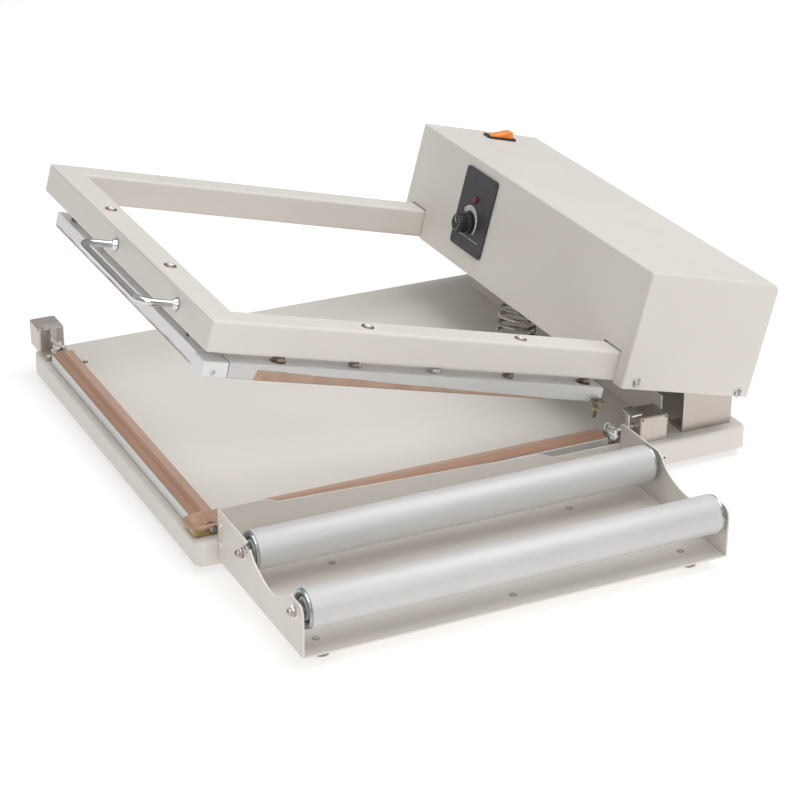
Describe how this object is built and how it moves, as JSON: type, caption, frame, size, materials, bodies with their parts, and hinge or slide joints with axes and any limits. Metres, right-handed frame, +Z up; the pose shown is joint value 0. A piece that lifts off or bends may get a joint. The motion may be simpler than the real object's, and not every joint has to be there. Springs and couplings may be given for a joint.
{
  "type": "l-bar sealer",
  "caption": "Tabletop L-bar film sealer: spring-raised sealing arm with rear control housing, L-shaped seal bars, and a side cradle with free rollers for the film roll.",
  "frame": {"origin": "middle of the footprint on the counter, with the arm raised", "axes": "+Z up, +Y towards the hinge and control housing, +X towards the film cradle"},
  "size_m": [0.6424, 0.5792, 0.2269],
  "materials": {
    "cream_paint": "satin powder coat, warm off-white",
    "drawn_aluminium": "drawn bar, fine lines along its length",
    "satin_anodised_aluminium": "satin anodised tube",
    "nickel_plate": "brushed nickel plate",
    "zinc_plated_steel": "zinc plate",
    "spring_steel": "bright drawn spring wire",
    "dark_passivated_zinc": "dark passivated",
    "chrome": "polished chrome plate",
    "aged_brass": "dull aged brass",
    "heating_wire": "resistance wire",
    "laminated_steel": "stacked laminations",
    "brown_cover_tape": "woven slippery tape, satin",
    "black_rubber": "matt moulded rubber",
    "charcoal_panel": "fine matt charcoal",
    "black_plastic": "satin moulding",
    "circuit_board": "lacquered board",
    "red_lens": "clear-tinted dome",
    "orange_rocker": "clear-tinted moulding"
  },
  "bodies": {
    "base": {"table_pan": "cream_paint", "hinge_guard": "cream_paint", "cradle_tray": "cream_paint", "cradle_plate_front": "cream_paint", "cradle_plate_rear": "cream_paint", "lower_front_bar": "drawn_aluminium", "lower_side_bar": "drawn_aluminium", "front_tension_block": "nickel_plate", "side_tension_block": "nickel_plate", "hinge_bracket_left": "nickel_plate", "hinge_bracket_right": "nickel_plate", "bottom_plate": "zinc_plated_steel", "spring_seat": "zinc_plated_steel", "hinge_shaft": "zinc_plated_steel", "roller_inner_axle": "zinc_plated_steel", "roller_outer_axle": "zinc_plated_steel", "front_tension_spring": "zinc_plated_steel", "side_tension_spring": "zinc_plated_steel", "arm_spring": "spring_steel", "corner_block": "aged_brass", "front_heating_wire": "heating_wire", "side_heating_wire": "heating_wire", "front_tape": "brown_cover_tape", "side_tape": "brown_cover_tape", "table_foot_front_left": "black_rubber", "table_foot_front_right": "black_rubber", "table_foot_rear_left": "black_rubber", "table_foot_rear_right": "black_rubber", "cradle_foot_front": "black_rubber", "cradle_foot_rear": "black_rubber", "seal_switch": "black_plastic"},
    "arm": {"u_frame": "cream_paint", "pull_handle": "chrome", "housing_cover": "cream_paint", "chassis": "zinc_plated_steel", "transformer": "laminated_steel", "timer_board": "circuit_board", "control_panel": "charcoal_panel", "indicator_lens": "red_lens", "rocker_bezel": "black_plastic"},
    "jaws": {"upper_front_jaw": "drawn_aluminium", "upper_side_jaw": "drawn_aluminium", "jaw_corner": "drawn_aluminium", "front_jaw_pad": "brown_cover_tape", "side_jaw_pad": "brown_cover_tape", "jaw_bolt_1": "zinc_plated_steel", "jaw_bolt_2": "zinc_plated_steel", "jaw_bolt_3": "zinc_plated_steel", "jaw_bolt_4": "zinc_plated_steel", "switch_actuator": "zinc_plated_steel"},
    "timer_knob": {"timer_knob": "black_plastic"},
    "power_rocker": {"power_rocker": "orange_rocker"},
    "inner_roller": {"roller_inner": "satin_anodised_aluminium", "roller_inner_cap_front": "dark_passivated_zinc", "roller_inner_cap_rear": "dark_passivated_zinc"},
    "outer_roller": {"roller_outer": "satin_anodised_aluminium", "roller_outer_cap_front": "dark_passivated_zinc", "roller_outer_cap_rear": "dark_passivated_zinc"},
    "front_hook": {"front_tension_hook": "nickel_plate"},
    "side_hook": {"side_tension_hook": "nickel_plate"}
  },
  "joints": [
    {"name": "arm_hinge", "type": "hinge", "parent": "base", "child": "arm", "pos_m": [-0.0756, 0.252, 0.0795], "axis": [1, 0, 0], "range_deg": [0, 14.5], "stiffness_Nm_per_rad": 48, "springref_deg": -18.33, "deforming": ["arm_spring"]},
    {"name": "jaw_float", "type": "slide", "parent": "arm", "child": "jaws", "axis": [0, 0.2504, 0.9681], "range_m": [0, 0.003], "stiffness_N_per_m": 8000, "springref_m": -0.002},
    {"name": "timer_turn", "type": "hinge", "parent": "arm", "child": "timer_knob", "pos_m": [-0.1674, 0.13802, 0.14441], "axis": [0, -0.9681, 0.2504], "range_deg": [-135, 135]},
    {"name": "rocker_tip", "type": "hinge", "parent": "arm", "child": "power_rocker", "pos_m": [-0.2766, 0.22942, 0.18388], "axis": [1, 0, 0], "range_deg": [-20, 0]},
    {"name": "inner_roller_spin", "type": "hinge", "parent": "base", "child": "inner_roller", "pos_m": [0.1974, 0, 0.0466], "axis": [0, 1, 0], "continuous": true},
    {"name": "outer_roller_spin", "type": "hinge", "parent": "base", "child": "outer_roller", "pos_m": [0.3042, 0, 0.048], "axis": [0, 1, 0], "continuous": true},
    {"name": "front_wire_tension", "type": "slide", "parent": "base", "child": "front_hook", "axis": [-1, 0, 0], "range_m": [0, 0.003], "stiffness_N_per_m": 1500},
    {"name": "side_wire_tension", "type": "slide", "parent": "base", "child": "side_hook", "axis": [0, 1, 0], "range_m": [0, 0.003], "stiffness_N_per_m": 1500}
  ]
}
